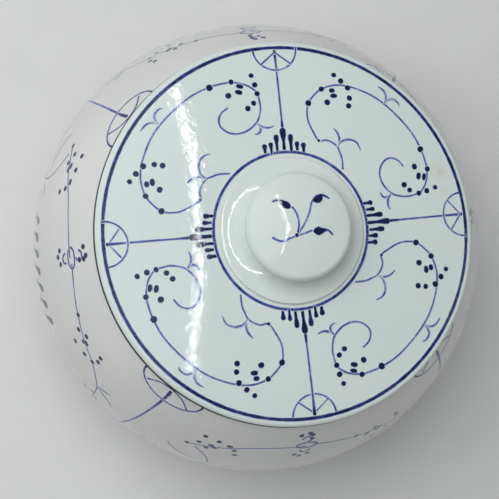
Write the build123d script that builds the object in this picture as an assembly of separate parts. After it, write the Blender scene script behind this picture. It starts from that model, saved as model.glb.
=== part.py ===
from build123d import *
import math
import os

# Lidded porcelain rice bowl, millimetres, +Z up.
# The origin is the centre of the foot ring, on the surface that the bowl stands on.
# Every piece is turned about the Z axis, so each one is a half outline in X (radius) and Z (height).

# Bowl, outside. The belly is two curves that meet upright, and with one curvature, at the widest circle.
# Each reach is the distance from a curve's end to its control point; each lean is the angle of that end.
BELLY_RADIUS = 101.5
BELLY_HEIGHT = 61.0
BELLY_REACH_UP = 19.0
BELLY_REACH_DOWN = 32.0
RIM_HEIGHT = 117.0
RIM_RADIUS = 80.5
RIM_LEAN = 50.0
RIM_REACH = 20.0
RIM_ROUNDING = 1.3

# Bowl, inside
WALL = 4.5
RIM_WIDTH = 5.5
INNER_REACH_DOWN = 30.0
FLOOR_HEIGHT = 12.0
FLOOR_RADIUS = 20.0
FLOOR_REACH = 37.0

# Foot ring
FOOT_TOP_RADIUS = 48.0
FOOT_TOP_HEIGHT = 10.8
FOOT_TOP_LEAN = 17.0
FOOT_TOP_REACH = 31.0
FOOT_RECESS = 6.0
FOOT_BASE_RADIUS = 47.0
FOOT_WIDTH = 5.0
FOOT_ROUNDING = 1.2
FOOT_CORNER = 2.5

# Lid
LID_RADIUS = 80.5
LID_EDGE_THICKNESS = 4.3
LID_THICKNESS = 4.6
LID_CROWN = 3.0
LID_TOP_ROUNDING = 2.0
LID_BOTTOM_ROUNDING = 1.6
LAND_RADIUS = 31.5
FLANGE_CLEARANCE = 1.4
FLANGE_WIDTH = 4.0
FLANGE_DEPTH = 9.0
FLANGE_ROUNDING = 1.2
VENT_RADIUS = 1.5

# Knob, heights above the land that it is luted to
KNOB_BASE_RADIUS = 30.5
KNOB_BASE_STEP = 1.7
KNOB_STEP_WIDTH = 1.9
KNOB_STEP_ROUNDING = 0.7
KNOB_NECK_RADIUS = 13.6
KNOB_NECK_HEIGHT = 6.8
KNOB_CORNER_RADIUS = 17.2
KNOB_UNDERSIDE_HEIGHT = 9.4
KNOB_RADIUS = 22.2
KNOB_WIDEST_HEIGHT = 12.0
KNOB_HEIGHT = 17.4
KNOB_CROWN_RADIUS = 80.0
KNOB_WALL = 4.2

LAND_HEIGHT = RIM_HEIGHT + LID_EDGE_THICKNESS + LID_CROWN


def leaned(end, degrees, reach):
    """Control point at a distance from an end, along a line at an angle above the horizontal."""
    slope = math.radians(degrees)
    return (end[0] + reach * math.cos(slope), end[1] + reach * math.sin(slope))


def quarter(centre, semi_r, semi_z, first_angle):
    """Quarter of an ellipse, anticlockwise from first_angle."""
    return EllipticalCenterArc(centre, semi_r, semi_z, first_angle, arc_size=90)


def knob_edge_radius():
    """Radius that joins the knob's domed crown to its widest circle without a corner."""
    crown = KNOB_HEIGHT - KNOB_WIDEST_HEIGHT
    room = KNOB_CROWN_RADIUS ** 2 - KNOB_RADIUS ** 2 - (KNOB_CROWN_RADIUS - crown) ** 2
    return room / (2 * (KNOB_CROWN_RADIUS - KNOB_RADIUS))


def turned(outline, rounded):
    """Solid of revolution from a closed half outline, with its named corners rounded."""
    face = make_face(outline)
    for corner, radius in rounded:
        nearest = min(face.vertices(), key=lambda v: (v.center() - Vector(*corner)).length)
        face = fillet(nearest, radius)
    return revolve(Plane.XZ * face, Axis.Z)


def bowl_body():
    belly = (BELLY_RADIUS, BELLY_HEIGHT)
    inner_belly = (BELLY_RADIUS - WALL, BELLY_HEIGHT)
    rim = (RIM_RADIUS, RIM_HEIGHT)
    inner_rim = (RIM_RADIUS - RIM_WIDTH, RIM_HEIGHT)
    foot_top = (FOOT_TOP_RADIUS, FOOT_TOP_HEIGHT)
    foot_inner = FOOT_BASE_RADIUS - FOOT_WIDTH
    recess_radius = foot_inner - 1
    outline = [
        Bezier(
            belly,
            (BELLY_RADIUS, BELLY_HEIGHT + BELLY_REACH_UP),
            leaned(rim, -RIM_LEAN, RIM_REACH),
            rim,
        ),
        Line(rim, inner_rim),
        Bezier(
            inner_rim,
            leaned(inner_rim, -RIM_LEAN, RIM_REACH),
            (inner_belly[0], BELLY_HEIGHT + BELLY_REACH_UP),
            inner_belly,
        ),
        Bezier(
            inner_belly,
            (inner_belly[0], BELLY_HEIGHT - INNER_REACH_DOWN),
            (FLOOR_RADIUS + FLOOR_REACH, FLOOR_HEIGHT),
            (FLOOR_RADIUS, FLOOR_HEIGHT),
        ),
        Line((FLOOR_RADIUS, FLOOR_HEIGHT), (0, FLOOR_HEIGHT)),
        Line((0, FLOOR_HEIGHT), (0, FOOT_RECESS)),
        Line((0, FOOT_RECESS), (recess_radius, FOOT_RECESS)),
        Line((recess_radius, FOOT_RECESS), (foot_inner, 0)),
        Line((foot_inner, 0), (FOOT_BASE_RADIUS, 0)),
        Line((FOOT_BASE_RADIUS, 0), foot_top),
        Bezier(
            foot_top,
            leaned(foot_top, FOOT_TOP_LEAN, FOOT_TOP_REACH),
            (BELLY_RADIUS, BELLY_HEIGHT - BELLY_REACH_DOWN),
            belly,
        ),
    ]
    rounded = [
        (rim, RIM_ROUNDING),
        (inner_rim, RIM_ROUNDING),
        ((FOOT_BASE_RADIUS, 0), FOOT_ROUNDING),
        ((foot_inner, 0), FOOT_ROUNDING),
        ((recess_radius, FOOT_RECESS), FOOT_CORNER),
        (foot_top, FOOT_CORNER),
    ]
    return turned(outline, rounded)


def lid():
    edge_top = RIM_HEIGHT + LID_EDGE_THICKNESS
    flange_outer = RIM_RADIUS - RIM_WIDTH - FLANGE_CLEARANCE
    flange_inner = flange_outer - FLANGE_WIDTH
    flange_base = RIM_HEIGHT - FLANGE_DEPTH
    reach = LID_RADIUS - LAND_RADIUS
    crown_radius = (reach ** 2 + LID_CROWN ** 2) / (2 * LID_CROWN)
    middle = LAND_RADIUS + reach / 2
    middle_drop = crown_radius - math.sqrt(crown_radius ** 2 - (reach / 2) ** 2)
    underside = LAND_HEIGHT - LID_THICKNESS
    under_reach = flange_inner - LAND_RADIUS
    under_drop = crown_radius - math.sqrt(crown_radius ** 2 - under_reach ** 2)
    under_middle_drop = crown_radius - math.sqrt(crown_radius ** 2 - (under_reach / 2) ** 2)
    under_edge = underside - under_drop
    outline = [
        Line((VENT_RADIUS, underside), (VENT_RADIUS, LAND_HEIGHT)),
        Line((VENT_RADIUS, LAND_HEIGHT), (LAND_RADIUS, LAND_HEIGHT)),
        ThreePointArc(
            (LAND_RADIUS, LAND_HEIGHT), (middle, LAND_HEIGHT - middle_drop), (LID_RADIUS, edge_top)
        ),
        Line((LID_RADIUS, edge_top), (LID_RADIUS, RIM_HEIGHT)),
        Line((LID_RADIUS, RIM_HEIGHT), (flange_outer, RIM_HEIGHT)),
        Line((flange_outer, RIM_HEIGHT), (flange_outer, flange_base)),
        Line((flange_outer, flange_base), (flange_inner, flange_base)),
        Line((flange_inner, flange_base), (flange_inner, under_edge)),
        ThreePointArc(
            (flange_inner, under_edge),
            (LAND_RADIUS + under_reach / 2, underside - under_middle_drop),
            (LAND_RADIUS, underside),
        ),
        Line((LAND_RADIUS, underside), (VENT_RADIUS, underside)),
    ]
    rounded = [
        ((LID_RADIUS, edge_top), LID_TOP_ROUNDING),
        ((LID_RADIUS, RIM_HEIGHT), LID_BOTTOM_ROUNDING),
        ((flange_outer, flange_base), FLANGE_ROUNDING),
        ((flange_inner, flange_base), FLANGE_ROUNDING),
        ((flange_inner, under_edge), FLANGE_ROUNDING),
    ]
    return turned(outline, rounded)


def lid_knob():
    step_radius = KNOB_BASE_RADIUS - KNOB_STEP_WIDTH
    flare_width = step_radius - KNOB_NECK_RADIUS
    neck_width = KNOB_CORNER_RADIUS - KNOB_NECK_RADIUS
    lip_width = KNOB_RADIUS - KNOB_CORNER_RADIUS
    bore = KNOB_NECK_RADIUS - KNOB_WALL
    hollow_radius = KNOB_RADIUS - KNOB_WALL
    hollow_top = KNOB_HEIGHT - KNOB_WALL
    crown_centre = KNOB_HEIGHT - KNOB_CROWN_RADIUS
    edge_radius = knob_edge_radius()
    slope = math.degrees(
        math.atan2(KNOB_WIDEST_HEIGHT - crown_centre, KNOB_RADIUS - edge_radius)
    )
    outline = [
        Line((bore, 0), (KNOB_BASE_RADIUS, 0)),
        Line((KNOB_BASE_RADIUS, 0), (KNOB_BASE_RADIUS, KNOB_BASE_STEP)),
        Line((KNOB_BASE_RADIUS, KNOB_BASE_STEP), (step_radius, KNOB_BASE_STEP)),
        quarter((step_radius, KNOB_NECK_HEIGHT), flare_width, KNOB_NECK_HEIGHT - KNOB_BASE_STEP, 180),
        quarter(
            (KNOB_CORNER_RADIUS, KNOB_NECK_HEIGHT),
            neck_width,
            KNOB_UNDERSIDE_HEIGHT - KNOB_NECK_HEIGHT,
            90,
        ),
        quarter(
            (KNOB_CORNER_RADIUS, KNOB_WIDEST_HEIGHT),
            lip_width,
            KNOB_WIDEST_HEIGHT - KNOB_UNDERSIDE_HEIGHT,
            270,
        ),
        CenterArc((KNOB_RADIUS - edge_radius, KNOB_WIDEST_HEIGHT), edge_radius, 0, slope),
        CenterArc((0, crown_centre), KNOB_CROWN_RADIUS, slope, 90 - slope),
        Line((0, KNOB_HEIGHT), (0, hollow_top)),
        Line((0, hollow_top), (KNOB_CORNER_RADIUS, hollow_top)),
        Line((KNOB_CORNER_RADIUS, hollow_top), (hollow_radius, KNOB_WIDEST_HEIGHT)),
        Line((hollow_radius, KNOB_WIDEST_HEIGHT), (bore, KNOB_NECK_HEIGHT)),
        Line((bore, KNOB_NECK_HEIGHT), (bore, 0)),
    ]
    rounded = [
        ((KNOB_BASE_RADIUS, KNOB_BASE_STEP), KNOB_STEP_ROUNDING),
        ((bore, KNOB_NECK_HEIGHT), FLANGE_ROUNDING),
    ]
    return Pos(0, 0, LAND_HEIGHT) * turned(outline, rounded)


os.makedirs("parts", exist_ok=True)
for name, piece in {"bowl_body": bowl_body(), "lid": lid(), "lid_knob": lid_knob()}.items():
    export_step(piece, f"parts/{name}.step")
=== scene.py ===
"""A lidded porcelain rice bowl, painted in underglaze blue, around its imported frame."""
import math

import bmesh
import bpy
import numpy as np
from mathutils import Matrix, Vector, noise


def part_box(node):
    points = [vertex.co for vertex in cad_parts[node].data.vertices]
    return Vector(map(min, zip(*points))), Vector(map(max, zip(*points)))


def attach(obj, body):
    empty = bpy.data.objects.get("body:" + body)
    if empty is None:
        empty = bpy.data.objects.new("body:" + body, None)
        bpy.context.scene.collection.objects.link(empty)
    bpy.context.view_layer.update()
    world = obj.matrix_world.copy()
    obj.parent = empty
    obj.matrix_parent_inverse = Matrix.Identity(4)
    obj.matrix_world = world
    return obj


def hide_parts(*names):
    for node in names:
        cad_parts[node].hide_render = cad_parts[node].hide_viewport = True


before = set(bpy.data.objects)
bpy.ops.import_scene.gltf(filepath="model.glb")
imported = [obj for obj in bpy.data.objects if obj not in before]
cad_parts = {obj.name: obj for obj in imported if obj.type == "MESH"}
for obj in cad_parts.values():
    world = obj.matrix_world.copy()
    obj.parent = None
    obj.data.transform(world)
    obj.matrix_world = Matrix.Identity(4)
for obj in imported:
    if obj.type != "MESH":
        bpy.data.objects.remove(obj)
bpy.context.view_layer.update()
MM = 0.001

# Sizes in millimetres, the first four from the frame
BELLY_RADIUS = round(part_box("bowl_body")[1][0] / MM, 1)
RIM_HEIGHT = round(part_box("bowl_body")[1][2] / MM, 1)
LID_RADIUS = round(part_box("lid")[1][0] / MM, 1)
LAND_HEIGHT = round(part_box("lid")[1][2] / MM, 1)
BELLY_HEIGHT = 61.0
BELLY_REACH_UP = 19.0
BELLY_REACH_DOWN = 32.0
RIM_RADIUS = LID_RADIUS
RIM_LEAN = 50.0
RIM_REACH = 20.0
RIM_ROUNDING = 1.3
WALL = 4.5
RIM_WIDTH = 5.5
INNER_REACH_DOWN = 30.0
FLOOR_HEIGHT = 12.0
FLOOR_RADIUS = 20.0
FLOOR_REACH = 37.0
FOOT_TOP = (48.0, 10.8)
FOOT_TOP_LEAN = 17.0
FOOT_TOP_REACH = 31.0
FOOT_RECESS = 6.0
FOOT_BASE_RADIUS = 47.0
FOOT_WIDTH = 5.0
FOOT_ROUNDING = 1.2
FOOT_CORNER = 2.5
LID_EDGE_THICKNESS = 4.3
LID_THICKNESS = 4.6
LID_CROWN = LAND_HEIGHT - RIM_HEIGHT - LID_EDGE_THICKNESS
LID_TOP_ROUNDING = 2.0
LID_BOTTOM_ROUNDING = 1.6
LAND_RADIUS = 31.5
FLANGE_CLEARANCE = 1.4
FLANGE_WIDTH = 4.0
FLANGE_DEPTH = 9.0
FLANGE_ROUNDING = 1.2
VENT_RADIUS = 1.5
KNOB_BASE_RADIUS = 30.5
KNOB_BASE_STEP = 1.7
KNOB_STEP_WIDTH = 1.9
KNOB_STEP_ROUNDING = 0.7
KNOB_NECK_RADIUS = 13.6
KNOB_NECK_HEIGHT = 6.8
KNOB_CORNER_RADIUS = 17.2
KNOB_UNDERSIDE_HEIGHT = 9.4
KNOB_RADIUS = 22.2
KNOB_WIDEST_HEIGHT = 12.0
KNOB_HEIGHT = 17.4
KNOB_CROWN_RADIUS = 80.0
KNOB_WALL = 4.2

# Unevenness of the throwing, all of it inwards from the turned shape
INSET = 0.0005
UNEVEN_ROUND = 0.0012
UNEVEN_FLAT = 0.0008

# Mesh fineness
AROUND = 280
OUTLINE_STEP = 1.6
BEND_STEPS = 6

# The painted film, across the stroke: share of the half width, mm past it, height over the glaze in mm,
# and share of the ink
FILM_LIFT = 0.015
FILM_SINK = -0.03
FILM_BED = -0.12
FILM_HALO = 0.4
FILM_SECTION = (
    (-1.0, -FILM_HALO, FILM_SINK, 0.0),
    (-1.0, -0.7 * FILM_HALO, FILM_LIFT, 0.03),
    (-1.0, -0.1 * FILM_HALO, FILM_LIFT, 0.28),
    (-0.8, 0.0, FILM_LIFT, 0.9),
    (0.0, 0.0, FILM_LIFT, 1.0),
    (0.8, 0.0, FILM_LIFT, 0.9),
    (1.0, 0.1 * FILM_HALO, FILM_LIFT, 0.28),
    (1.0, 0.7 * FILM_HALO, FILM_LIFT, 0.03),
    (1.0, FILM_HALO, FILM_SINK, 0.0),
    (0.5, 0.0, FILM_BED, 1.0),
    (-0.5, 0.0, FILM_BED, 1.0),
)
FILM_LAYER = 0.003
FILM_LAYERS = 5
BLOB_LIFT = 0.018
CAP_STEPS = 5
STROKE_STEP = 0.6
# Sections of a round end that are nearer than this share of it are one
SAME_STOP = 0.02
LOOK_AHEAD = 0.15
# How much the brush's width and its load of cobalt waver, and over what length in mm
WIDTH_WAVER = 0.16
WIDTH_WAVE = 2.6
INK_WAVER = 0.35
INK_WAVE = 4.5

# Width and ink along a stroke, as (share of the length, share of the value)
LEVEL = ((0, 1), (1, 1))
TEAR = ((0, 0.5), (0.45, 0.52), (0.75, 1), (1, 0.95))
LEAF = ((0, 0.5), (0.35, 1), (0.7, 0.8), (1, 0.25))
SPOKE = ((0, 1.5), (0.12, 0.9), (0.8, 1), (1, 1.7))
DARK_ENDS = ((0, 1.5), (0.12, 0.8), (0.88, 0.8), (1, 1.5))
DARK_TIP = ((0, 0.7), (0.6, 0.9), (1, 1.2))


def leaned(end, degrees, reach):
    """Control point at a distance from an end, along a line at an angle above the horizontal."""
    slope = math.radians(degrees)
    return (end[0] + reach * math.cos(slope), end[1] + reach * math.sin(slope))


def bezier(start, pull_start, pull_end, end, steps=48):
    """Points along a cubic curve."""
    points = []
    for i in range(steps + 1):
        t = i / steps
        s = 1 - t
        shares = (s ** 3, 3 * s * s * t, 3 * s * t * t, t ** 3)
        corners = (start, pull_start, pull_end, end)
        points.append(tuple(sum(w * c[k] for w, c in zip(shares, corners)) for k in (0, 1)))
    return points


def arc(centre, semi_r, semi_z, first, sweep, steps=12):
    """Points along part of an ellipse, with its angles in degrees."""
    points = []
    for i in range(steps + 1):
        angle = math.radians(first + sweep * i / steps)
        points.append((centre[0] + semi_r * math.cos(angle), centre[1] + semi_z * math.sin(angle)))
    return points


def bent(outline, corner, radius):
    """The outline with one of its corners turned into a bend of a given radius."""
    at = min(range(len(outline)), key=lambda i: math.dist(outline[i], corner))
    here = Vector(outline[at])
    arriving = (here - Vector(outline[at - 1])).normalized()
    leaving = (Vector(outline[(at + 1) % len(outline)]) - here).normalized()
    reach = radius * math.tan(arriving.angle(leaving) / 2)
    start = here - arriving * reach
    end = here + leaving * reach
    before = [p for p in outline[:at] if math.dist(p, here) > reach]
    after = [p for p in outline[at + 1:] if math.dist(p, here) > reach]
    bend = []
    for i in range(BEND_STEPS + 1):
        t = i / BEND_STEPS
        bend.append(tuple(start * (1 - t) ** 2 + here * 2 * t * (1 - t) + end * t * t))
    return before + bend + after


def divided(outline, closed=False):
    """The outline with its long straight runs divided."""
    points = []
    ends = outline[1:] + outline[:1] if closed else outline[1:]
    for start, end in zip(outline, ends):
        length = math.dist(start, end)
        if length < 1e-6:
            continue
        parts = max(1, math.ceil(length / OUTLINE_STEP))
        for i in range(parts):
            t = i / parts
            points.append((start[0] + (end[0] - start[0]) * t, start[1] + (end[1] - start[1]) * t))
    if not closed:
        points.append(outline[-1])
    return points


def bowl_outside():
    """Half outline of the bowl's outside, from the rim down to the base of the foot."""
    belly = (BELLY_RADIUS, BELLY_HEIGHT)
    rim = (RIM_RADIUS, RIM_HEIGHT)
    upper = bezier(
        rim, leaned(rim, -RIM_LEAN, RIM_REACH), (BELLY_RADIUS, BELLY_HEIGHT + BELLY_REACH_UP), belly
    )
    lower = bezier(
        belly,
        (BELLY_RADIUS, BELLY_HEIGHT - BELLY_REACH_DOWN),
        leaned(FOOT_TOP, FOOT_TOP_LEAN, FOOT_TOP_REACH),
        FOOT_TOP,
    )
    return upper + lower[1:] + [(FOOT_BASE_RADIUS, 0.0)]


def bowl_outline():
    """The whole of the bowl's half outline, from the axis inside to the axis underneath."""
    inner_belly = (BELLY_RADIUS - WALL, BELLY_HEIGHT)
    inner_rim = (RIM_RADIUS - RIM_WIDTH, RIM_HEIGHT)
    foot_inner = FOOT_BASE_RADIUS - FOOT_WIDTH
    recess = (foot_inner - 1, FOOT_RECESS)
    inside_low = bezier(
        (FLOOR_RADIUS, FLOOR_HEIGHT),
        (FLOOR_RADIUS + FLOOR_REACH, FLOOR_HEIGHT),
        (inner_belly[0], BELLY_HEIGHT - INNER_REACH_DOWN),
        inner_belly,
    )
    inside_high = bezier(
        inner_belly,
        (inner_belly[0], BELLY_HEIGHT + BELLY_REACH_UP),
        leaned(inner_rim, -RIM_LEAN, RIM_REACH),
        inner_rim,
    )
    outline = [(0.0, FLOOR_HEIGHT)] + inside_low + inside_high[1:] + bowl_outside()
    outline += [(foot_inner, 0.0), recess, (0.0, FOOT_RECESS)]
    outline = bent(outline, inner_rim, RIM_ROUNDING)
    outline = bent(outline, (RIM_RADIUS, RIM_HEIGHT), RIM_ROUNDING)
    outline = bent(outline, FOOT_TOP, FOOT_CORNER)
    outline = bent(outline, (FOOT_BASE_RADIUS, 0.0), FOOT_ROUNDING)
    outline = bent(outline, (foot_inner, 0.0), FOOT_ROUNDING)
    outline = bent(outline, recess, FOOT_CORNER)
    return divided(outline)


def crown_arc(height, width, steps=24):
    """The lid's gentle fall from the flat land outwards, over a given width."""
    reach = LID_RADIUS - LAND_RADIUS
    radius = (reach ** 2 + LID_CROWN ** 2) / (2 * LID_CROWN)
    points = []
    for i in range(steps + 1):
        out = width * i / steps
        points.append((LAND_RADIUS + out, height - radius + math.sqrt(radius ** 2 - out ** 2)))
    return points


def lid_outline():
    """The lid's closed half outline, around its vent."""
    flange_outer = RIM_RADIUS - RIM_WIDTH - FLANGE_CLEARANCE
    flange_inner = flange_outer - FLANGE_WIDTH
    flange_base = RIM_HEIGHT - FLANGE_DEPTH
    underside = LAND_HEIGHT - LID_THICKNESS
    top = crown_arc(LAND_HEIGHT, LID_RADIUS - LAND_RADIUS)
    below = crown_arc(underside, flange_inner - LAND_RADIUS)
    below.reverse()
    outline = [(VENT_RADIUS, underside), (VENT_RADIUS, LAND_HEIGHT)] + top
    outline += [(LID_RADIUS, RIM_HEIGHT), (flange_outer, RIM_HEIGHT), (flange_outer, flange_base)]
    outline += [(flange_inner, flange_base)] + below
    outline = bent(outline, top[-1], LID_TOP_ROUNDING)
    outline = bent(outline, (LID_RADIUS, RIM_HEIGHT), LID_BOTTOM_ROUNDING)
    outline = bent(outline, (flange_outer, flange_base), FLANGE_ROUNDING)
    outline = bent(outline, (flange_inner, flange_base), FLANGE_ROUNDING)
    outline = bent(outline, below[0], FLANGE_ROUNDING)
    return divided(outline, closed=True)


def knob_outline():
    """The knob's half outline, from the axis inside to the axis on its crown."""
    step = KNOB_BASE_RADIUS - KNOB_STEP_WIDTH
    bore = KNOB_NECK_RADIUS - KNOB_WALL
    hollow_top = KNOB_HEIGHT - KNOB_WALL
    crown = KNOB_HEIGHT - KNOB_WIDEST_HEIGHT
    room = KNOB_CROWN_RADIUS ** 2 - KNOB_RADIUS ** 2 - (KNOB_CROWN_RADIUS - crown) ** 2
    edge = room / (2 * (KNOB_CROWN_RADIUS - KNOB_RADIUS))
    crown_centre = (0.0, KNOB_HEIGHT - KNOB_CROWN_RADIUS)
    edge_centre = (KNOB_RADIUS - edge, KNOB_WIDEST_HEIGHT)
    slope = math.degrees(math.atan2(KNOB_WIDEST_HEIGHT - crown_centre[1], edge_centre[0]))
    outline = [(0.0, hollow_top), (KNOB_CORNER_RADIUS, hollow_top)]
    outline += [(KNOB_RADIUS - KNOB_WALL, KNOB_WIDEST_HEIGHT), (bore, KNOB_NECK_HEIGHT)]
    outline += [(bore, 0.0), (KNOB_BASE_RADIUS, 0.0), (KNOB_BASE_RADIUS, KNOB_BASE_STEP)]
    outline += arc(
        (step, KNOB_NECK_HEIGHT), step - KNOB_NECK_RADIUS, KNOB_NECK_HEIGHT - KNOB_BASE_STEP, 270, -90
    )
    outline += arc(
        (KNOB_CORNER_RADIUS, KNOB_NECK_HEIGHT),
        KNOB_CORNER_RADIUS - KNOB_NECK_RADIUS,
        KNOB_UNDERSIDE_HEIGHT - KNOB_NECK_HEIGHT,
        180,
        -90,
    )
    outline += arc(
        (KNOB_CORNER_RADIUS, KNOB_WIDEST_HEIGHT),
        KNOB_RADIUS - KNOB_CORNER_RADIUS,
        KNOB_WIDEST_HEIGHT - KNOB_UNDERSIDE_HEIGHT,
        270,
        90,
    )
    outline += arc(edge_centre, edge, edge, 0, slope)
    outline += arc(crown_centre, KNOB_CROWN_RADIUS, KNOB_CROWN_RADIUS, slope, 90 - slope)
    outline[-1] = (0.0, KNOB_HEIGHT)
    outline = bent(outline, (KNOB_BASE_RADIUS, KNOB_BASE_STEP), KNOB_STEP_ROUNDING)
    return [(r, z + LAND_HEIGHT) for r, z in divided(outline)]


def by_hand(place):
    """Metres from millimetres, with the slight unevenness of thrown porcelain."""
    x, y, z = place
    turn = math.atan2(y, x)
    oval = 0.5 + 0.3 * math.sin(2 * turn + 0.7 + 0.01 * z) + 0.2 * math.sin(3 * turn + 2.1 - 0.02 * z)
    sag = 0.5 + 0.5 * noise.noise(Vector((x, y, 0)) / 45)
    wide = 1 - INSET - UNEVEN_ROUND * oval
    return Vector((x * wide, y * wide, z * (1 - INSET - UNEVEN_FLAT * sag))) * MM


def new_piece(name, verts, faces, material, body, node):
    """A Blender object from a mesh, on a body, in place of a node."""
    mesh = bpy.data.meshes.new(name)
    mesh.from_pydata([tuple(v) for v in verts], [], faces)
    build = bmesh.new()
    build.from_mesh(mesh)
    bmesh.ops.recalc_face_normals(build, faces=build.faces)
    build.to_mesh(mesh)
    build.free()
    mesh.shade_smooth()
    mesh.materials.append(material)
    piece = bpy.data.objects.new(name, mesh)
    bpy.context.scene.collection.objects.link(piece)
    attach(piece, body)
    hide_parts(node)
    return piece


def turned(name, outline, closed, material, body, node):
    """A piece of porcelain turned from its half outline."""
    verts = []
    rings = []
    for radius, height in outline:
        first = len(verts)
        if radius < 1e-6:
            verts.append(by_hand((0, 0, height)))
            rings.append([first] * AROUND)
            continue
        for i in range(AROUND):
            angle = 2 * math.pi * i / AROUND
            verts.append(by_hand((radius * math.cos(angle), radius * math.sin(angle), height)))
        rings.append(list(range(first, first + AROUND)))
    faces = []
    pairs = list(zip(rings, rings[1:]))
    if closed:
        pairs.append((rings[-1], rings[0]))
    for lower, upper in pairs:
        for i in range(AROUND):
            j = (i + 1) % AROUND
            corners = [lower[i], lower[j], upper[j], upper[i]]
            faces.append(list(dict.fromkeys(corners)))
    piece = new_piece(name, verts, faces, material, body, node)
    piece.data.set_sharp_from_angle(angle=math.radians(35))
    return piece


class Brushwork:
    """Brush strokes on one surface. Each is a thin closed film that follows the glaze."""

    def __init__(self, surface, unit):
        """The surface gives a place in mm and a normal for (u, v); unit gives mm per u and per v."""
        self.surface = surface
        self.unit = unit
        self.verts = []
        self.faces = []
        self.inks = []
        self.strokes = 0

    def tip(self, u, v):
        place, normal = self.surface(u, v)
        self.verts.append(by_hand(place + normal * FILM_SINK))
        self.inks.append(0.1)
        return len(self.verts) - 1

    def section(self, u, v, side, half, ink, lift):
        """One section across a stroke, where side is a millimetre sideways in (u, v)."""
        layer = lift + FILM_LAYER * (self.strokes % FILM_LAYERS)
        soft = min(1, half / 0.25)
        first = len(self.verts)
        for across, past, height, share in FILM_SECTION:
            away = across * half + past * soft
            place, normal = self.surface(u + side[0] * away, v + side[1] * away)
            self.verts.append(by_hand(place + normal * (height + layer)))
            self.inks.append(ink * share)
        return list(range(first, first + len(FILM_SECTION)))

    def join(self, ring, other):
        count = len(ring)
        for i in range(count):
            j = (i + 1) % count
            self.faces.append((ring[i], ring[j], other[j], other[i]))

    def stroke(self, path, width, ink, widths=LEVEL, inks=DARK_ENDS, cap=None, closed=False, lift=0.0):
        """A stroke along a smooth path, with round ends, or a closed ring."""
        self.strokes += 1
        line = smooth_path(path, STROKE_STEP / max(self.unit(*path[0])), closed)
        points = np.array(line)
        units = np.array([self.unit(*p) for p in line])
        runs = np.linalg.norm(np.diff(points, axis=0) * units[:-1], axis=1)
        along = np.concatenate(([0.0], np.cumsum(runs)))
        length = along[-1]
        half = width / 2
        cap = min(cap or half, length / 2)
        stops = list(np.linspace(0, length, max(2, math.ceil(length / STROKE_STEP)) + 1))
        if not closed:
            ends = [cap * (1 - math.cos(math.pi / 2 * k / CAP_STEPS)) for k in range(CAP_STEPS + 1)]
            stops = [s for s in stops if cap * 1.05 < s < length - cap * 1.05]
            stops = sorted(ends + stops + [length - e for e in ends])
            gaps = [s - before for before, s in zip([-length] + stops, stops)]
            stops = [s for s, gap in zip(stops, gaps) if gap > SAME_STOP * cap]
        rings = []
        for stop in stops:
            u, v = (np.interp(stop, along, points[:, k]) for k in (0, 1))
            back = [np.interp(stop - LOOK_AHEAD, along, points[:, k]) for k in (0, 1)]
            front = [np.interp(stop + LOOK_AHEAD, along, points[:, k]) for k in (0, 1)]
            mm_u, mm_v = self.unit(u, v)
            ahead = Vector(((front[0] - back[0]) * mm_u, (front[1] - back[1]) * mm_v))
            if ahead.length < 1e-9:
                continue
            ahead.normalize()
            share = stop / length
            wobble = noise.noise(Vector((u * mm_u, v * mm_v, self.strokes)) / WIDTH_WAVE)
            pool = noise.noise(Vector((u * mm_u, v * mm_v, self.strokes + 40)) / INK_WAVE)
            room = min(stop, length - stop) / cap
            round_end = 1 if closed or room >= 1 else math.sqrt(max(0, 1 - (1 - room) ** 2))
            wide = half * curve_value(widths, share) * round_end * (1 + WIDTH_WAVER * wobble)
            if round_end < 0.05:
                rings.append(self.tip(u, v))
                continue
            side = (-ahead.y / mm_u, ahead.x / mm_v)
            strength = ink * curve_value(inks, share) * (1 + INK_WAVER * pool)
            rings.append(self.section(u, v, side, wide, strength, lift))
        if closed:
            rings.pop()
            rings.append(rings[0])
        for ring, other in zip(rings, rings[1:]):
            self.bridge(ring, other)

    def bridge(self, ring, other):
        """Faces between two sections, or from a section to a tip."""
        if isinstance(ring, int):
            ring, other = other, ring
        if isinstance(ring, int):
            return
        if isinstance(other, int):
            for i in range(len(ring)):
                self.faces.append((ring[i], ring[(i + 1) % len(ring)], other))
            return
        self.join(ring, other)

    def dot(self, u, v, radius, ink=1.25):
        """A round blob left by the brush's tip."""
        self.oval(u, v, radius * 1.05, radius * 0.95, 40 * self.strokes, ink)

    def oval(self, u, v, long, short, degrees, ink=1.25):
        """An oval blob, its long half in a given direction."""
        mm_u, mm_v = self.unit(u, v)
        du = long * math.cos(math.radians(degrees)) / mm_u
        dv = long * math.sin(math.radians(degrees)) / mm_v
        ends = [(u - du, v - dv), (u + du, v + dv)]
        self.stroke(ends, 2 * short, ink, inks=LEVEL, cap=long, lift=BLOB_LIFT)

    def piece(self, name, material, body, node, slot):
        piece = new_piece(name, self.verts, self.faces, material, body, node)
        layer = piece.data.attributes.new("ink", "FLOAT", "POINT")
        layer.data.foreach_set("value", np.clip(np.array(self.inks), 0, 1.4))
        return piece


def curve_value(curve, share):
    return float(np.interp(share, [c[0] for c in curve], [c[1] for c in curve]))


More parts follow.
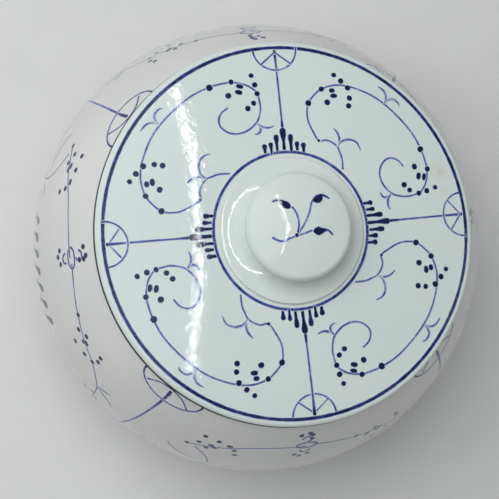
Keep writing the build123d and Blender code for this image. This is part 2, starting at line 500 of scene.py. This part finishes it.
def smooth_path(path, step, closed=False):
    """Points along a smooth curve through the given ones."""
    if len(path) == 2:
        return [tuple(p) for p in path]
    line = []
    last = len(path) - 1
    for i in range(last):
        before = path[i - 1] if i else (path[-2] if closed else path[0])
        after = path[i + 2] if i + 2 <= last else (path[1] if closed else path[-1])
        start, end = path[i], path[i + 1]
        parts = max(2, math.ceil(math.dist(start, end) / step))
        for k in range(parts):
            t = k / parts
            shares = (
                (-t + 2 * t * t - t ** 3) / 2,
                (2 - 5 * t * t + 3 * t ** 3) / 2,
                (t + 4 * t * t - 3 * t ** 3) / 2,
                (t ** 3 - t * t) / 2,
            )
            corners = (before, start, end, after)
            line.append(tuple(sum(w * c[a] for w, c in zip(shares, corners)) for a in (0, 1)))
    line.append(tuple(path[-1]))
    return line


# ---------------------------------------------------------------- surfaces that are painted

CROWN_RADIUS = ((LID_RADIUS - LAND_RADIUS) ** 2 + LID_CROWN ** 2) / (2 * LID_CROWN)


def lid_surface(x, y):
    """A place on the lid's top, from its plan."""
    radius = math.hypot(x, y)
    out = max(0.0, radius - LAND_RADIUS)
    rise = math.sqrt(CROWN_RADIUS ** 2 - out ** 2)
    lean = out / CROWN_RADIUS / max(radius, 1e-6)
    normal = Vector((x * lean, y * lean, rise / CROWN_RADIUS))
    return Vector((x, y, LAND_HEIGHT - CROWN_RADIUS + rise)), normal


def knob_surface(x, y):
    """A place on the knob's crown, from its plan."""
    rise = math.sqrt(KNOB_CROWN_RADIUS ** 2 - x * x - y * y)
    place = Vector((x, y, LAND_HEIGHT + KNOB_HEIGHT - KNOB_CROWN_RADIUS + rise))
    return place, Vector((x, y, rise)) / KNOB_CROWN_RADIUS


def plan_unit(u, v):
    return (1.0, 1.0)


# The bowl's side is mapped by azimuth in degrees and by latitude, 0 at the widest circle and 36 at the rim.
LATITUDE = 1.69


def rises(point, other):
    """Whether the other point is no lower."""
    return other[1] > point[1] - 1e-9


def side_table():
    """Arc length, radius, height and normal along the bowl's outside, upwards from the foot."""
    outline = [p for p in bowl_outline() if p[0] > FOOT_BASE_RADIUS - FOOT_WIDTH]
    widest = max(range(len(outline)), key=lambda i: outline[i][0])
    start = widest
    while rises(outline[start], outline[start - 1]) and outline[start - 1][0] < outline[start][0] + 1e-9:
        start -= 1
    end = widest
    while end + 1 < len(outline) and outline[end + 1][1] < outline[end][1] - 1e-9:
        end += 1
    side = np.array(outline[start:end + 1][::-1])
    along = np.concatenate(([0.0], np.cumsum(np.linalg.norm(np.diff(side, axis=0), axis=1))))
    along -= np.interp(BELLY_HEIGHT, side[:, 1], along)
    tangent = np.gradient(side, along, axis=0)
    tangent /= np.linalg.norm(tangent, axis=1)[:, None]
    return along, side[:, 0], side[:, 1], tangent[:, 1], -tangent[:, 0]


SIDE = side_table()


def bowl_surface(azimuth, latitude):
    """A place on the bowl's outside."""
    radius, height, out, up = (float(np.interp(latitude * LATITUDE, SIDE[0], c)) for c in SIDE[1:])
    turn = math.radians(azimuth)
    place = Vector((radius * math.cos(turn), radius * math.sin(turn), height))
    return place, Vector((out * math.cos(turn), out * math.sin(turn), up)).normalized()


def bowl_unit(azimuth, latitude):
    radius = float(np.interp(latitude * LATITUDE, SIDE[0], SIDE[1]))
    return (math.radians(radius), LATITUDE)


def circle(radius, steps=72):
    return [
        (radius * math.cos(2 * math.pi * i / steps), radius * math.sin(2 * math.pi * i / steps))
        for i in range(steps + 1)
    ]


# ---------------------------------------------------------------- the lid's decoration

OUTER_RING = (77.5, 1.35)
INNER_RING = (32.7, 1.2)
LID_SPOKES = (93.6, 5.7, -83.6, -175.7)
VINE_BASE_TURN = 4.98
# Where the knots beside each spoke stand in the four quadrants, in degrees from the next spoke
VINE_FIRST_KNOT = (75.6, 79.8, 79.5, 76.9)
VINE_LAST_KNOT = (26.2, 28.6, 27.0, 24.0)

VINE_STEM = (
    (25, 23.5), (25.2, 28), (24.5, 31), (23.8, 33.3), (21.5, 35.5), (19, 36.5), (16, 36.5),
    (14, 40.5), (12.5, 45), (12.5, 49), (13.5, 52.7), (16.5, 56), (20, 58.4), (25, 59.7),
    (29.5, 59.5), (34, 58.3), (41, 55), (47, 50.5), (53, 44), (58, 37), (61, 30), (62.2, 25),
    (62.6, 21), (61.5, 16), (59.5, 12.8), (57.5, 11.2), (52, 10.2), (48, 10.8), (45.3, 12),
    (42.5, 15), (41, 19), (41.5, 23), (44, 26.2), (47, 27), (50, 25.7), (52, 23),
)
VINE_LEAVES = (
    ((23.8, 33.3), (25, 36), (24.6, 39), (23, 41.5)),
    ((23.8, 33.3), (26, 35.5), (29.5, 36), (32.5, 34.5), (33.8, 31)),
    ((47, 50.5), (48.3, 53), (47.8, 56), (45.3, 58.3)),
    ((47, 50.5), (49, 52), (51.5, 52.3), (53.5, 50.5), (53.8, 49)),
    ((45.3, 12), (43, 10.5), (41, 11), (40.2, 13)),
    ((45, 12), (43.3, 9.5), (43, 7), (43.8, 5)),
)
VINE_DOTS = (
    (26.3, 64.2, 1.0), (29, 61.4, 1.15), (31.6, 58.3, 1.2), (31.8, 53.8, 1.1), (31, 50.5, 1.15),
    (21.8, 52.5, 1.25), (13.5, 52.7, 1.25), (20, 58.4, 1.15), (16, 36.5, 0.6),
    (57, 22.7, 1.25), (51.3, 15.2, 1.15), (53.5, 12.8, 1.1), (57.5, 11.2, 1.1), (61.3, 12, 1.15),
    (65.3, 13.2, 1.0), (62.8, 21.3, 1.1), (60.8, 30, 1.35),
)
VINE_OVALS = (
    (24.5, 57.5, 1.3, 1.0, 0), (25, 55.2, 1.6, 0.95, 0), (58.3, 18.5, 1.6, 1.0, 75),
    (60.8, 18, 1.6, 0.85, 75),
)


# Width in mm and ink of each kind of stroke
VINE_BRUSH = (0.75, 0.5)
LEAF_BRUSH = (1.1, 0.5)
SPOKE_BRUSH = (0.85, 0.7)
ROSETTE_BRUSH = (0.7, 0.62)
RIB_BRUSH = (0.65, 0.62)
OUTER_RING_INK = 0.92
INNER_RING_INK = 0.66
SPOKE_REACH = (43, 76.5)
ROSETTE_RADIUS = 9.3
ROSETTE_OUT = 77
FAN_INK = 1.15
# Dabs of a fan: distance beside the spoke, distance out, width
FAN = ((0, 43, 2.42), (3.0, 40.2, 2.09), (5.5, 37, 1.76), (8.2, 36.4, 2.09))


def in_quadrant(point, quadrant):
    """A point of the vine, drawn for the first quadrant, turned into another one."""
    radius = math.hypot(point[0], point[1])
    angle = math.degrees(math.atan2(point[1], point[0]))
    first, last = VINE_FIRST_KNOT[quadrant], VINE_LAST_KNOT[quadrant]
    share = (angle - VINE_LAST_KNOT[0]) / (VINE_FIRST_KNOT[0] - VINE_LAST_KNOT[0])
    turn = math.radians(last + share * (first - last) + VINE_BASE_TURN - 90 * quadrant)
    return (radius * math.cos(turn), radius * math.sin(turn))


def by_spoke(across, out, azimuth):
    """A point beside a spoke, from its distance clockwise of it and its distance out."""
    turn = math.radians(azimuth)
    return (
        out * math.cos(turn) + across * math.sin(turn), out * math.sin(turn) - across * math.cos(turn)
    )


def paint_vines():
    work = Brushwork(lid_surface, plan_unit)
    for quadrant in range(4):
        work.stroke([in_quadrant(p, quadrant) for p in VINE_STEM], *VINE_BRUSH, inks=LEVEL)
        for leaf in VINE_LEAVES:
            path = [in_quadrant(p, quadrant) for p in leaf]
            work.stroke(path, *LEAF_BRUSH, widths=LEAF, inks=DARK_TIP)
        for x, y, radius in VINE_DOTS:
            work.dot(*in_quadrant((x, y), quadrant), radius)
        for x, y, long, short, tilt in VINE_OVALS:
            turn = tilt + VINE_BASE_TURN - 90 * quadrant
            work.oval(*in_quadrant((x, y), quadrant), long, short, turn)
    return work


def paint_spokes():
    work = Brushwork(lid_surface, plan_unit)
    for azimuth in LID_SPOKES:
        work.stroke([by_spoke(0, out, azimuth) for out in SPOKE_REACH], *SPOKE_BRUSH, widths=SPOKE)
        rosette = []
        for degrees in range(-4, 185, 12):
            turn = math.radians(degrees)
            across = ROSETTE_RADIUS * math.cos(turn)
            out = ROSETTE_OUT - ROSETTE_RADIUS * math.sin(turn)
            rosette.append(by_spoke(across, out, azimuth))
        work.stroke(rosette, *ROSETTE_BRUSH)
        for side in (-1, 1):
            rib = [by_spoke(0, 75.5, azimuth), by_spoke(6.6 * side, 70.1, azimuth)]
            work.stroke(rib, *RIB_BRUSH)
    return work


def paint_fans():
    work = Brushwork(lid_surface, plan_unit)
    for azimuth in LID_SPOKES:
        for across, out, wide in FAN:
            for side in ((1,) if across == 0 else (-1, 1)):
                start = by_spoke(across * side, 32.6 if across < 4 else 31.8, azimuth)
                end = by_spoke(across * side * 1.02, out, azimuth)
                work.stroke([start, end], wide, FAN_INK, widths=TEAR, inks=LEVEL)
    return work


def paint_rings():
    work = Brushwork(lid_surface, plan_unit)
    work.stroke(circle(OUTER_RING[0]), OUTER_RING[1], OUTER_RING_INK, inks=LEVEL, closed=True)
    work.stroke(circle(INNER_RING[0]), INNER_RING[1], INNER_RING_INK, inks=LEVEL, closed=True)
    return work


# ---------------------------------------------------------------- the knob's sprig

BUDS = (
    ((-4.5, 7), (-6.8, 8.6), (-9, 10), (-10.5, 10), (-12, 9.3)),
    ((4.9, 10.1), (7.2, 10.8), (9, 12.3), (10.8, 11.8), (12.3, 10.8)),
    ((4.6, -2.4), (7.6, -2.2), (10.5, -1.8), (12, -2.7), (13.2, -4)),
)
BUD_WIDTHS = (3.1, 3.6, 3.2)
BUD_SHAPE = ((0, 0.6), (0.25, 1), (0.48, 0.6), (0.62, 0.26), (1, 0.2))
BUD_INK = ((0, 1), (0.45, 1), (0.65, 0.6), (1, 0.6))
BUD_STRENGTH = 1.2
SPRIG_BRUSH = (0.85, 0.52)
# Where the stems meet, the radius of the dot there and its ink
SPRIG_JOINT = (-2.2, -4, 0.8, 0.9)
SPRIG_STEMS = (
    ((-4, 7.5), (-2.5, 5.5), (-1.5, 2.5), (-1.3, 0), (-1.8, -3)),
    ((-2, -4), (0, -1), (1.8, 2), (3.3, 5.5), (4.2, 8.8), (5, 10.2), (6.5, 12), (8, 12.5)),
    ((-1.5, -4), (1, -3.3), (4.3, -2)),
    ((-2, -4.2), (-3.8, -4.8), (-5, -5.2), (-7.5, -6.4), (-10, -6), (-12.2, -4.8)),
)


def paint_sprig():
    work = Brushwork(knob_surface, plan_unit)
    for path, width in zip(BUDS, BUD_WIDTHS):
        work.stroke(path, width, BUD_STRENGTH, widths=BUD_SHAPE, inks=BUD_INK, lift=BLOB_LIFT)
    for path in SPRIG_STEMS:
        work.stroke(path, *SPRIG_BRUSH)
    work.dot(*SPRIG_JOINT)
    return work


# ---------------------------------------------------------------- the bowl's decoration

PANELS = (186, 276, 97, 6)
SIDE_SPOKES = ((144, 140), (232.5, 230), (322, 320), (53, 50))
FOOT_LATITUDE = -43
LEFT_ARM = ((0, 26.5), (-6, 26.5), (-11, 26), (-16, 25), (-21, 23), (-26, 21), (-30.5, 19))
LEFT_HOOK = ((-28.5, 18.6), (-26, 16.5), (-23.5, 13), (-22.5, 9), (-23, 5), (-24.5, 0))
RIGHT_ARM = (
    (1.5, 27), (6, 26.3), (14.5, 24), (19, 22.5), (23, 21), (27, 19.5), (30.5, 16.5), (33, 13),
    (34, 9), (34.5, 5), (35, 0),
)
SIDE_LEAVES = (
    ((-34.5, 14), (-33, 12), (-29, 9.5), (-24, 8.5)),
    ((-21, 7), (-18, 9)),
    ((33, 13), (35, 14.2), (37, 15.5)),
    ((33, 13), (36.5, 12), (38.5, 11), (39.5, 9.5)),
)
SIDE_DOTS = (
    (-27.8, 25.8), (-23.8, 25.3), (-18.8, 22.6), (-18, 20), (-28.3, 22), (-25.8, 20.2), (-30.7, 19),
    (20.8, 23.3), (27.5, 23.8), (28, 21.8), (18.3, 21.5), (21.6, 21), (24.5, 18.2), (20.5, 17.3),
    (27.2, 19.5), (14.8, 24), (31.5, 4.5), (33.5, 7), (35.5, 4), (-39.5, 4.5), (-36, 5),
)
SIDE_OVALS = ((-20.5, 24.3), (-25, 22.3), (-24, 21.5), (22.3, 21.8))
KNOT = (
    ((-3, 27), (-1.5, 28.2), (1.5, 28.2), (3, 27), (1.5, 25.8), (-1.5, 25.8), (-3, 27)),
    ((-1.8, 30), (-0.8, 31.2), (0.8, 31), (1.2, 29.6), (0, 28.9)),
    ((-1.6, 24.6), (-0.6, 23.4), (0.8, 23.6), (1.2, 24.8)),
)
KNOT_DOTS = ((0.2, 32.7), (1, 31.8), (-2.3, 32), (1, 30.2), (-2.5, 22), (1, 22), (-1, 21))


# Width in mm and ink of each kind of stroke on the side
SIDE_VINE_BRUSH = (0.6, 0.8)
SIDE_LEAF_BRUSH = (1.1, 0.7)
KNOT_BRUSH = (0.8, 0.8)
SIDE_SPOKE_BRUSH = (0.95, 0.68)
ARCH_BRUSH = (0.7, 0.85)
ARCH_RIB_BRUSH = (0.6, 0.85)
FOOT_BAND_BRUSH = (1.5, 0.9)
GARLAND_BRUSH = (3.2, 1.4)
SIDE_BERRY = 1.1
SIDE_SEED = (1.5, 0.95)
ARCH_LATITUDE = 35.9
ARCH_HALF_WIDTH = 10.3
ARCH_DEPTH = 5.2
FOOT_BAND_RISE = 2.6
GARLAND_DABS = 7
GARLAND_START = 173
GARLAND_STEP = 4.2


def both_ways(path):
    """The path above the widest circle, and the same below it."""
    return (path, [(u, -v) for u, v in path])


def paint_side_vines():
    work = Brushwork(bowl_surface, bowl_unit)
    for panel in PANELS:
        for path in (LEFT_ARM, LEFT_HOOK, RIGHT_ARM):
            for way in both_ways(path):
                work.stroke([(panel + u, v) for u, v in way], *SIDE_VINE_BRUSH, inks=DARK_ENDS)
        for leaf in SIDE_LEAVES:
            for way in both_ways(leaf):
                path = [(panel + u, v) for u, v in way]
                work.stroke(path, *SIDE_LEAF_BRUSH, widths=LEAF, inks=DARK_TIP)
        for path in KNOT:
            for way in both_ways(path):
                work.stroke([(panel + u, v) for u, v in way], *KNOT_BRUSH, inks=LEVEL)
        for u, v in SIDE_DOTS + KNOT_DOTS:
            for way in (1, -1):
                work.dot(panel + u, v * way, SIDE_BERRY)
        for u, v in SIDE_OVALS:
            for way in (1, -1):
                work.oval(panel + u, v * way, *SIDE_SEED, 0)
    return work


def paint_side_spokes():
    work = Brushwork(bowl_surface, bowl_unit)
    for rim, belly in SIDE_SPOKES:
        path = [(rim, 35), (rim, 31), (0.6 * rim + 0.4 * belly, 18), (belly, 0)]
        path += [(belly, -18), (belly, FOOT_LATITUDE)]
        work.stroke(path, *SIDE_SPOKE_BRUSH, widths=SPOKE)
        arch = []
        for degrees in range(0, 181, 15):
            turn = math.radians(degrees)
            azimuth = rim + ARCH_HALF_WIDTH * math.cos(turn)
            arch.append((azimuth, ARCH_LATITUDE - ARCH_DEPTH * math.sin(turn)))
        work.stroke(arch, *ARCH_BRUSH)
        work.stroke([(rim, 35.7), (rim - 4, 35.1), (rim - 7.4, 33.0)], *ARCH_RIB_BRUSH)
        work.stroke([(rim, 35.7), (rim + 4, 34.6), (rim + 7, 32.2)], *ARCH_RIB_BRUSH)
    return work


def paint_foot_band():
    work = Brushwork(bowl_surface, bowl_unit)
    lowest = SIDE[0][0] / LATITUDE
    ring = [(azimuth, lowest + FOOT_BAND_RISE) for azimuth in range(0, 361, 5)]
    work.stroke(ring, *FOOT_BAND_BRUSH, inks=LEVEL, closed=True)
    return work


def paint_garland():
    """A plain row of slanted dabs along the belly of the first panel."""
    work = Brushwork(bowl_surface, bowl_unit)
    for i in range(GARLAND_DABS):
        azimuth = GARLAND_START + GARLAND_STEP * i
        dab = [(azimuth - 1.2, 1.2), (azimuth + 0.2, 4.4), (azimuth + 1.8, 8.0)]
        work.stroke(dab, *GARLAND_BRUSH, widths=TEAR, inks=LEVEL)
    return work


# ---------------------------------------------------------------- materials

# Cobalt, thin to thick: amount of ink, colour
INKS = (
    (0.0, (0.300, 0.360, 0.640, 1)),
    (0.35, (0.105, 0.155, 0.470, 1)),
    (0.65, (0.030, 0.050, 0.235, 1)),
    (1.0, (0.0045, 0.0075, 0.046, 1)),
)
BISCUIT = (0.56, 0.50, 0.42, 1)
SPECK = (0.10, 0.085, 0.07, 1)
STAIN = (0.62, 0.50, 0.30, 1)
# Faint brown stains on the lid: x, y and radius in mm
STAINS = ((66, 25, 5.0), (72, 29, 3.0), (68, 18, 3.2))
# Dark colour painted on as the shade in the narrow gap where the lid rests on the bowl
JOINT_SHADE = (0.045, 0.040, 0.035, 1)
# Metres from the axis at which the painted shade in the gap between bowl and lid begins
JOINT_SHADE_FROM = 0.0788

# Noise scales, per metre
CLOUD_SCALE = 14
MOTTLE_SCALE = 420
SPECK_SCALE = 900
POOLING_SCALE = 650
# The glaze's long ripple and its orange peel, which break up the reflections
RIPPLE_SCALE = 32
PEEL_SCALE = 430
PEEL_SHARE = 0.17
RELIEF_DEPTH = 0.00035


class Nodes:
    """Short forms for adding and joining shader nodes."""

    def __init__(self, name):
        self.material = bpy.data.materials.new(name)
        self.material.use_nodes = True
        self.tree = self.material.node_tree
        self.shader = self.tree.nodes["Principled BSDF"]

    def add(self, kind, **settings):
        node = self.tree.nodes.new(kind)
        for key, value in settings.items():
            setattr(node, key, value)
        return node

    def link(self, start, end):
        self.tree.links.new(start, end)

    def noise(self, coords, scale, detail=2.0, roughness=0.5):
        node = self.add("ShaderNodeTexNoise")
        node.inputs["Scale"].default_value = scale
        node.inputs["Detail"].default_value = detail
        node.inputs["Roughness"].default_value = roughness
        self.link(coords, node.inputs["Vector"])
        return node.outputs["Fac"]

    def spread(self, value, low, high, out_low=0.0, out_high=1.0):
        node = self.add("ShaderNodeMapRange")
        self.link(value, node.inputs["Value"])
        for key, number in zip(("From Min", "From Max", "To Min", "To Max"), (low, high, out_low, out_high)):
            node.inputs[key].default_value = number
        return node.outputs["Result"]

    def maths(self, operation, first, second):
        node = self.add("ShaderNodeMath", operation=operation)
        for socket, value in zip(node.inputs, (first, second)):
            if isinstance(value, (int, float)):
                socket.default_value = value
            else:
                self.link(value, socket)
        return node.outputs["Value"]

    def mix(self, factor, first, second, blend="MIX"):
        node = self.add("ShaderNodeMix", data_type="RGBA", blend_type=blend)
        for socket, value in zip((node.inputs[0], node.inputs[6], node.inputs[7]), (factor, first, second)):
            if isinstance(value, (int, float, tuple)):
                socket.default_value = value
            else:
                self.link(value, socket)
        return node.outputs[2]


def glaze(name, pale, deep, seam, stains=()):
    """Glossy porcelain glaze, with the cobalt of the painting under it, a bare foot and a thin line of
    painted shade where lid and bowl meet.
    """
    nodes = Nodes(name)
    coords = nodes.add("ShaderNodeTexCoord").outputs["Object"]
    broad = nodes.noise(coords, CLOUD_SCALE, 2)
    body = nodes.mix(nodes.spread(broad, 0.35, 0.65), pale, deep)
    fine = nodes.noise(coords, MOTTLE_SCALE, 3, 0.6)
    body = nodes.mix(nodes.spread(fine, 0.3, 0.7, 0.0, 0.10), body, deep)
    speck = nodes.noise(coords, SPECK_SCALE, 1)
    body = nodes.mix(nodes.spread(speck, 0.79, 0.81, 0, 0.5), body, SPECK)

    for x, y, radius in stains:
        away = nodes.add("ShaderNodeVectorMath", operation="DISTANCE")
        nodes.link(coords, away.inputs[0])
        away.inputs[1].default_value = (x * MM, y * MM, LAND_HEIGHT * MM)
        fading = nodes.spread(away.outputs["Value"], radius * MM, 0.0)
        patchy = nodes.spread(fine, 0.3, 0.7, 0.1, 0.75)
        body = nodes.mix(nodes.maths("MULTIPLY", fading, patchy), body, STAIN)

    ink = nodes.add("ShaderNodeAttribute", attribute_name="ink").outputs["Fac"]
    pooling = nodes.noise(coords, POOLING_SCALE, 3, 0.65)
    washed = nodes.maths("MULTIPLY", ink, nodes.spread(pooling, 0.3, 0.7, 0.72, 1.22))
    ramp = nodes.add("ShaderNodeValToRGB")
    for i, (amount, shade) in enumerate(INKS):
        stop = ramp.color_ramp.elements[i] if i < 2 else ramp.color_ramp.elements.new(amount)
        stop.position = amount
        stop.color = shade
    nodes.link(washed, ramp.inputs[0])
    painted = nodes.mix(nodes.spread(washed, 0.0, 0.42), body, ramp.outputs[0])

    height = nodes.add("ShaderNodeSeparateXYZ")
    nodes.link(coords, height.inputs[0])
    ragged = nodes.maths("ADD", height.outputs["Z"], nodes.spread(fine, 0, 1, -0.0004, 0.0004))
    bare = nodes.spread(ragged, 0.0012, 0.0016, 1, 0)
    painted = nodes.mix(bare, painted, BISCUIT)
    # A thin band at the rim's height, out from the axis, is painted dark as the shade in the gap between lid
    # and bowl
    low, high = seam
    above = nodes.spread(height.outputs["Z"], low * MM, low * MM + 0.0001)
    below = nodes.spread(height.outputs["Z"], high * MM, high * MM + 0.0001, 1, 0)
    out_x = nodes.maths("MULTIPLY", height.outputs["X"], height.outputs["X"])
    out_y = nodes.maths("MULTIPLY", height.outputs["Y"], height.outputs["Y"])
    outer = nodes.spread(nodes.maths("ADD", out_x, out_y), JOINT_SHADE_FROM ** 2, (JOINT_SHADE_FROM + MM) ** 2)
    line = nodes.maths("MULTIPLY", above, below)
    painted = nodes.mix(nodes.maths("MULTIPLY", line, outer), painted, JOINT_SHADE)
    nodes.link(painted, nodes.shader.inputs["Base Color"])

    matt = nodes.spread(broad, 0.3, 0.7, 0.035, 0.07)
    rough = nodes.add("ShaderNodeMix")
    nodes.link(bare, rough.inputs[0])
    nodes.link(matt, rough.inputs[2])
    rough.inputs[3].default_value = 0.75
    nodes.link(rough.outputs[0], nodes.shader.inputs["Roughness"])
    nodes.shader.inputs["IOR"].default_value = 1.5
    nodes.shader.inputs["Coat Weight"].default_value = 0.3
    nodes.shader.inputs["Coat Roughness"].default_value = 0.025

    ripple = nodes.noise(coords, RIPPLE_SCALE, 2, 0.45)
    peel = nodes.noise(coords, PEEL_SCALE, 1, 0.5)
    relief = nodes.maths("ADD", ripple, nodes.maths("MULTIPLY", peel, PEEL_SHARE))
    bump = nodes.add("ShaderNodeBump")
    bump.inputs["Strength"].default_value = 0.5
    bump.inputs["Distance"].default_value = RELIEF_DEPTH
    nodes.link(relief, bump.inputs["Height"])
    nodes.link(bump.outputs["Normal"], nodes.shader.inputs["Normal"])
    return nodes.material


def floor_paper():
    """Matt off-white paper."""
    nodes = Nodes("floor_paper")
    coords = nodes.add("ShaderNodeTexCoord").outputs["Object"]
    grain = nodes.noise(coords, 60, 4)
    tone = nodes.mix(grain, (0.76, 0.76, 0.75, 1), (0.80, 0.80, 0.79, 1))
    nodes.link(tone, nodes.shader.inputs["Base Color"])
    nodes.shader.inputs["Roughness"].default_value = 0.9
    nodes.shader.inputs["Specular IOR Level"].default_value = 0.1
    return nodes.material


# ---------------------------------------------------------------- stage, light and camera

FLOOR_HALF = 4.0
CAMERA_DISTANCE = 0.6167
CAMERA_TILT = 13.85
CAMERA_AZIMUTH = 205.3
CAMERA_AIM = Vector((-0.0002, 0.0004, 0.0450))
CAMERA_LENS = 94.6

# Soft key from the upper left and weak fill from the other side: azimuth, elevation and distance
LIGHT_AIM = Vector((0, 0, 0.08))
KEY_PLACE = (157, 58, 1.05)
KEY_WIDTH = 0.95
KEY_POWER = 6.5
KEY_COLOUR = (1.0, 0.99, 0.98)
FILL_PLACE = (-20, 40, 1.8)
FILL_WIDTH = 1.2
FILL_POWER = 2.0
FILL_COLOUR = (1.0, 1.0, 0.97)
SKY_COLOUR = (0.86, 0.88, 0.90, 1)
SKY_STRENGTH = 0.19

# The long gleam on the lid, in plan and in mm, and the row of lamps that makes it
GLEAM = ((-47, 60), (-42, 36), (-40, 11), (-38.5, -25), (-42.5, -58))
LAMP_HEIGHT = 1300
LAMP_WIDTH = 0.018
LAMP_FILL = 0.86
LAMP_RADIANCE = 16
# The round softbox just above that row, whose edge the lid mirrors along the same gleam
SOFTBOX = Vector((-0.65, 0.176, 1.32))
SOFTBOX_WIDTH = 1.5
SOFTBOX_POWER = 4.0
SOFTBOX_COLOUR = (0.86, 0.94, 1.0)


def make_floor():
    build = bmesh.new()
    bmesh.ops.create_grid(build, x_segments=8, y_segments=8, size=FLOOR_HALF)
    mesh = bpy.data.meshes.new("floor")
    build.to_mesh(mesh)
    build.free()
    mesh.materials.append(floor_paper())
    floor = bpy.data.objects.new("floor", mesh)
    bpy.context.scene.collection.objects.link(floor)


def from_angles(azimuth, elevation, distance):
    """A place round the object, from its angles in degrees."""
    turn = math.radians(azimuth)
    rise = math.radians(elevation)
    flat = distance * math.cos(rise)
    return Vector((flat * math.cos(turn), flat * math.sin(turn), distance * math.sin(rise)))


def area_light(name, place, aim, width, length, power, colour=(1, 1, 1)):
    light = bpy.data.lights.new(name, "AREA")
    light.shape = "RECTANGLE"
    light.size = width
    light.size_y = length
    light.energy = power
    light.color = colour
    lamp = bpy.data.objects.new(name, light)
    lamp.location = place
    lamp.rotation_euler = (aim - place).to_track_quat("-Z", "Y").to_euler()
    bpy.context.scene.collection.objects.link(lamp)
    return lamp


def make_lights():
    key = area_light("key", from_angles(*KEY_PLACE), LIGHT_AIM, KEY_WIDTH, KEY_WIDTH, KEY_POWER, KEY_COLOUR)
    key.visible_glossy = False
    under = SOFTBOX - Vector((0, 0, 1))
    softbox = area_light(
        "softbox", SOFTBOX, under, SOFTBOX_WIDTH, SOFTBOX_WIDTH, SOFTBOX_POWER, SOFTBOX_COLOUR
    )
    softbox.data.shape = "DISK"
    area_light("fill", from_angles(*FILL_PLACE), LIGHT_AIM, FILL_WIDTH, FILL_WIDTH, FILL_POWER, FILL_COLOUR)
    make_tube_light(camera_place())
    world = bpy.data.worlds.new("studio")
    world.use_nodes = True
    sky = world.node_tree.nodes["Background"]
    sky.inputs["Color"].default_value = SKY_COLOUR
    sky.inputs["Strength"].default_value = SKY_STRENGTH
    bpy.context.scene.world = world
    bpy.context.scene.view_settings.view_transform = "Standard"


def camera_place():
    return CAMERA_AIM + from_angles(CAMERA_AZIMUTH, 90 - CAMERA_TILT, CAMERA_DISTANCE)


def make_tube_light(seen_from):
    """A bowed row of narrow lamps overhead, placed so that the lid mirrors it along its gleam."""
    lamps = []
    for x, y in smooth_path(GLEAM, 12):
        place, normal = lid_surface(x, y)
        sight = (seen_from / MM - place).normalized()
        ray = normal * 2 * normal.dot(sight) - sight
        lamps.append((place + ray * (LAMP_HEIGHT - place.z) / ray.z) * MM)
    for i, (start, end) in enumerate(zip(lamps, lamps[1:])):
        run = end - start
        length = run.length * LAMP_FILL
        power = LAMP_RADIANCE * math.pi * LAMP_WIDTH * length
        middle = (start + end) / 2
        below = Vector((middle.x, middle.y, 0))
        lamp = area_light(f"lamp_{i}", middle, below, LAMP_WIDTH, length, power)
        lamp.rotation_euler = (0, 0, math.atan2(run.y, run.x) - math.pi / 2)


def make_camera():
    data = bpy.data.cameras.new("camera")
    data.lens = CAMERA_LENS
    data.clip_start = 0.02
    camera = bpy.data.objects.new("camera", data)
    offset = from_angles(CAMERA_AZIMUTH, 90 - CAMERA_TILT, CAMERA_DISTANCE)
    back = offset.normalized()
    up = back.cross(Vector((1, 0, 0))).normalized()
    right = up.cross(back)
    turn = Matrix((right, up, back)).transposed().to_4x4()
    camera.matrix_world = Matrix.Translation(CAMERA_AIM + offset) @ turn
    bpy.context.scene.collection.objects.link(camera)
    bpy.context.scene.camera = camera


# ---------------------------------------------------------------- making it

make_floor()
make_lights()
make_camera()

# Heights in mm of the bands painted dark as the shade in the gap between lid and bowl
LID_SEAM = (RIM_HEIGHT + 0.02, RIM_HEIGHT + 0.5)
BOWL_SEAM = (RIM_HEIGHT - 0.6, RIM_HEIGHT - 0.1)
LID_GLAZE = glaze("lid_glaze", (0.73, 0.80, 0.77, 1), (0.69, 0.77, 0.75, 1), LID_SEAM, STAINS)
KNOB_GLAZE = glaze("knob_glaze", (0.74, 0.80, 0.765, 1), (0.70, 0.77, 0.735, 1), LID_SEAM)
BOWL_GLAZE = glaze("bowl_glaze", (0.72, 0.72, 0.70, 1), (0.67, 0.68, 0.67, 1), BOWL_SEAM)

turned("bowl_porcelain", bowl_outline(), False, BOWL_GLAZE, "bowl", "bowl_body")
turned("lid_porcelain", lid_outline(), True, LID_GLAZE, "lid", "lid")
turned("knob_porcelain", knob_outline(), False, KNOB_GLAZE, "lid", "lid_knob")

paint_rings().piece("lid_rings", LID_GLAZE, "lid", "lid", "lid_glaze")
paint_spokes().piece("lid_spokes", LID_GLAZE, "lid", "lid", "lid_glaze")
paint_fans().piece("lid_fans", LID_GLAZE, "lid", "lid", "lid_glaze")
paint_vines().piece("lid_vines", LID_GLAZE, "lid", "lid", "lid_glaze")
paint_sprig().piece("knob_sprig", KNOB_GLAZE, "lid", "lid_knob", "knob_glaze")
paint_side_vines().piece("bowl_vines", BOWL_GLAZE, "bowl", "bowl_body", "bowl_glaze")
paint_side_spokes().piece("bowl_spokes", BOWL_GLAZE, "bowl", "bowl_body", "bowl_glaze")
paint_foot_band().piece("bowl_foot_band", BOWL_GLAZE, "bowl", "bowl_body", "bowl_glaze")
paint_garland().piece("bowl_garland", BOWL_GLAZE, "bowl", "bowl_body", "bowl_glaze")
